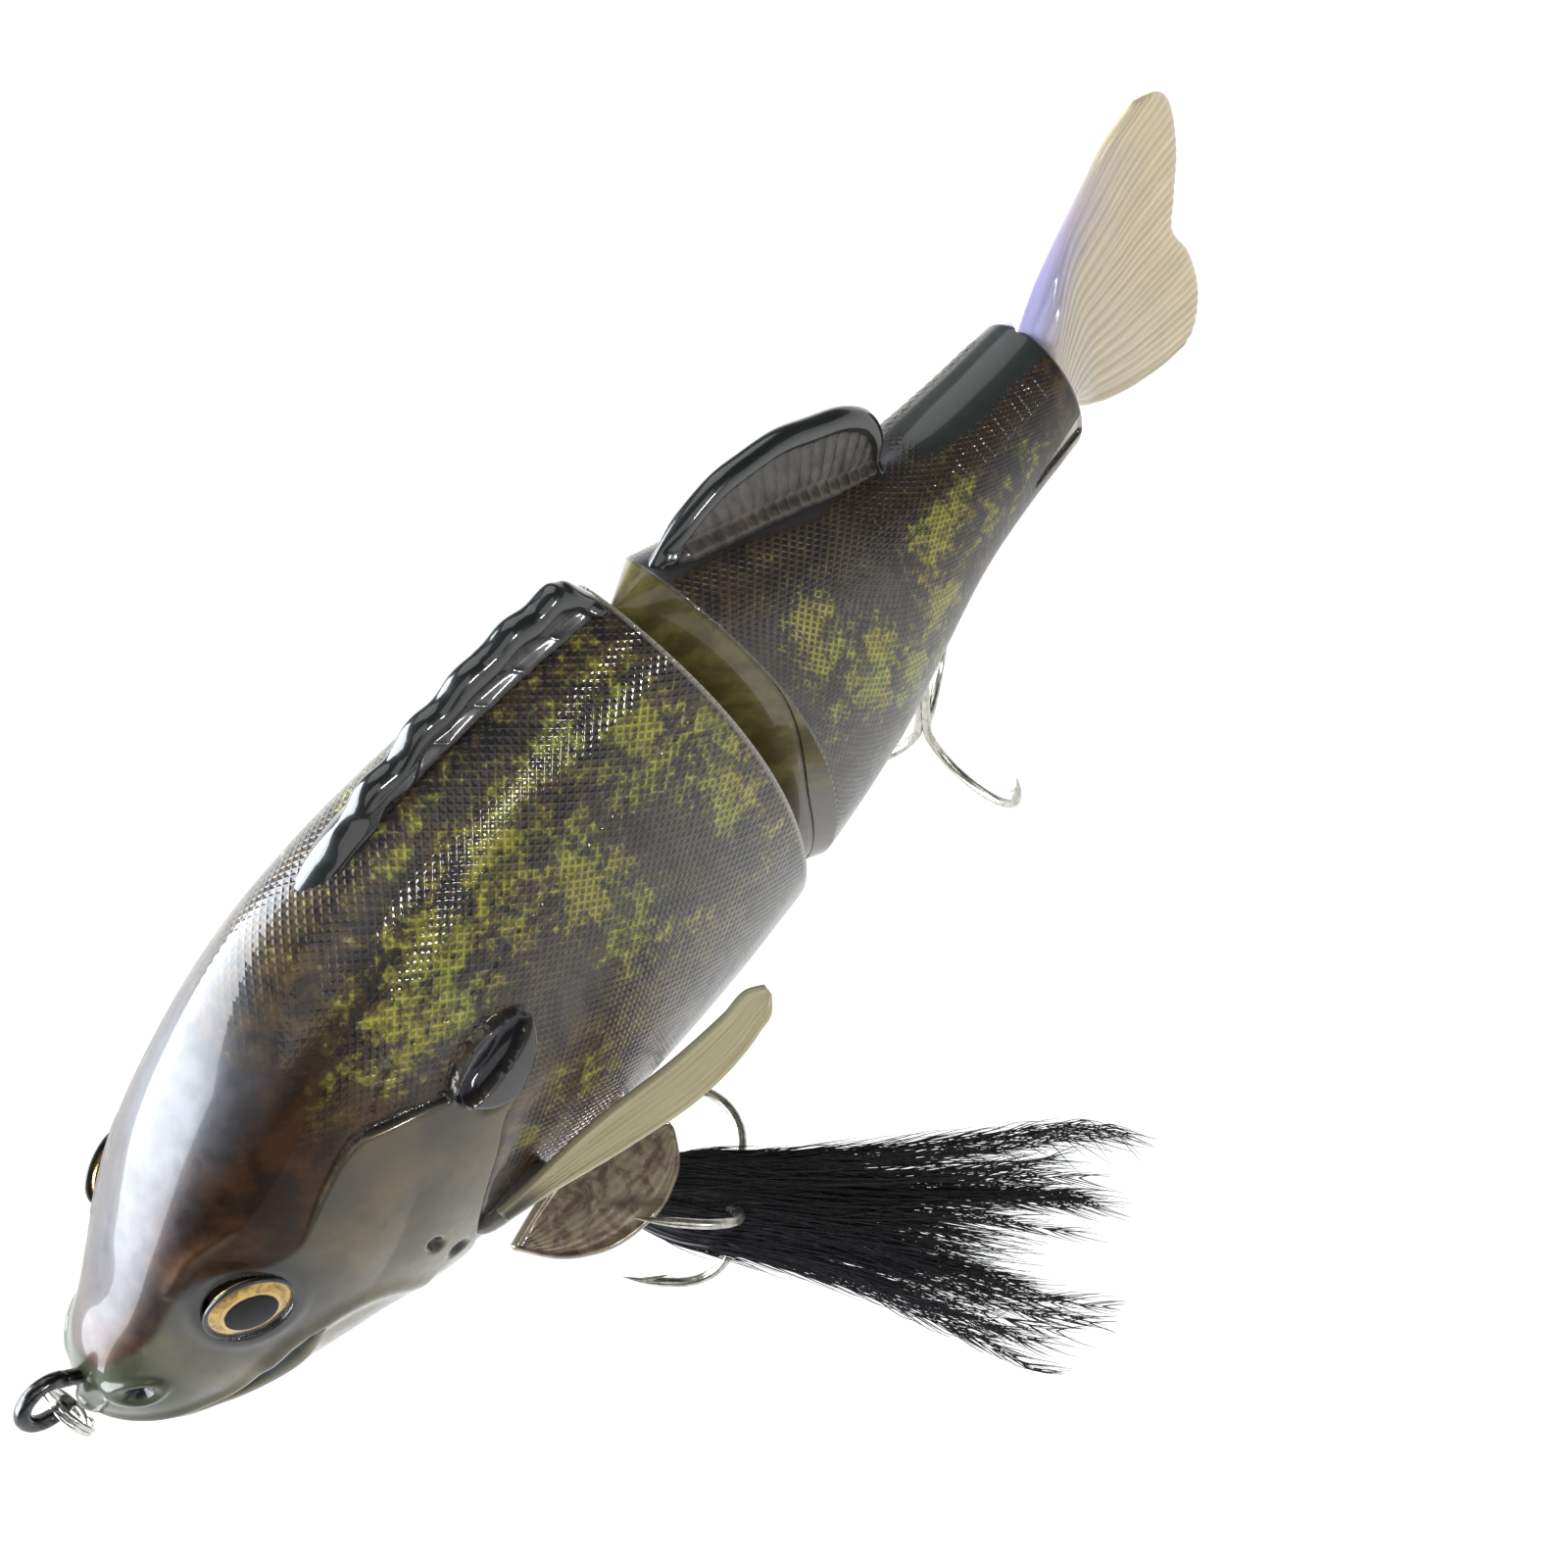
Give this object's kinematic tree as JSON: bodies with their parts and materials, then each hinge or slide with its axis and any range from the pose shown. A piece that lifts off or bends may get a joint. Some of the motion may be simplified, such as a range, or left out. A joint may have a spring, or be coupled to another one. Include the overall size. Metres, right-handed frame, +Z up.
{
  "type": "jointed swimbait",
  "caption": "Two-section panfish swimbait on a vertical pin hinge, with a soft swinging tail, side fins, and swinging treble hooks, the front one dressed with feather.",
  "frame": {"origin": "centre of the line-tie eye at the nose, which holds the lure up", "axes": "+X from the nose to the tail, +Y to the lure's right, +Z up through the back"},
  "size_m": [0.1723, 0.078, 0.1045],
  "materials": {
    "painted_shell": "printed scale pattern under a high-gloss clear coat",
    "dark_wire": "dark smoked wire",
    "ring_steel": "bright nickel split ring",
    "eye_foil": "gold foil print",
    "eye_pupil": "black print",
    "eye_lens": "clear domed resin",
    "satin_fin": "satin tan",
    "gloss_fin": "mottled brown under gloss",
    "ballast": "plain cast metal",
    "steel_wire": "bright steel wire",
    "hook_steel": "satin nickel plating",
    "thread": "black waxed thread",
    "feather": "black hackle",
    "soft_tail": "pearl soft plastic"
  },
  "bodies": {
    "front_section": {"front_shell_left": "painted_shell", "front_shell_right": "painted_shell", "line_tie_eye": "dark_wire", "eye_iris_left": "eye_foil", "eye_iris_right": "eye_foil", "eye_pupil_left": "eye_pupil", "eye_pupil_right": "eye_pupil", "eye_lens_left": "eye_lens", "eye_lens_right": "eye_lens", "pectoral_fin_left": "satin_fin", "pectoral_fin_right": "satin_fin", "pelvic_fin_left": "gloss_fin", "pelvic_fin_right": "gloss_fin", "front_ballast_weight": "ballast", "front_hook_hanger": "steel_wire", "hinge_eye_upper": "steel_wire", "hinge_eye_lower": "steel_wire"},
    "rear_section": {"rear_shell_left": "painted_shell", "rear_shell_right": "painted_shell", "hinge_pin": "steel_wire", "rear_ballast_weight": "ballast", "rear_hook_hanger": "steel_wire"},
    "tail": {"tail_fin": "soft_tail"},
    "line_tie_ring": {"line_tie_split_ring": "ring_steel"},
    "front_ring": {"front_split_ring": "ring_steel"},
    "front_hook": {"front_treble_hook": "hook_steel", "feather_thread_wrap": "thread", "feather_dressing": "feather"},
    "rear_ring": {"rear_split_ring": "ring_steel"},
    "rear_hook": {"rear_treble_hook": "hook_steel"}
  },
  "joints": [
    {"name": "body_hinge", "type": "hinge", "parent": "front_section", "child": "rear_section", "pos_m": [0.0898, 0, -0.0032], "axis": [0, 0, 1], "range_deg": [-25, 25]},
    {"name": "tail_flex", "type": "hinge", "parent": "rear_section", "child": "tail", "pos_m": [0.1386, 0, -0.0032], "axis": [0, 0, 1], "range_deg": [-15, 15], "stiffness_Nm_per_rad": 0.002},
    {"name": "line_tie_ring_swing", "type": "hinge", "parent": "front_section", "child": "line_tie_ring", "pos_m": [0, 0, 0], "axis": [0, 1, 0], "range_deg": [0, 100]},
    {"name": "front_ring_swing", "type": "hinge", "parent": "front_section", "child": "front_ring", "pos_m": [0.0454, 0, -0.0353], "axis": [1, 0, 0], "range_deg": [-5, 75]},
    {"name": "front_hook_swing", "type": "hinge", "parent": "front_ring", "child": "front_hook", "pos_m": [0.0454, -0.00346, -0.03698], "axis": [0, 0.4372, -0.8994], "range_deg": [-20, 40]},
    {"name": "rear_ring_swing", "type": "hinge", "parent": "rear_section", "child": "rear_ring", "pos_m": [0.1172, 0, -0.0227], "axis": [1, 0, 0], "range_deg": [-60, 45]},
    {"name": "rear_hook_swing", "type": "hinge", "parent": "rear_ring", "child": "rear_hook", "pos_m": [0.1172, 0.00089, -0.02645], "axis": [0, 0.973, 0.2307], "range_deg": [-25, 25]}
  ]
}
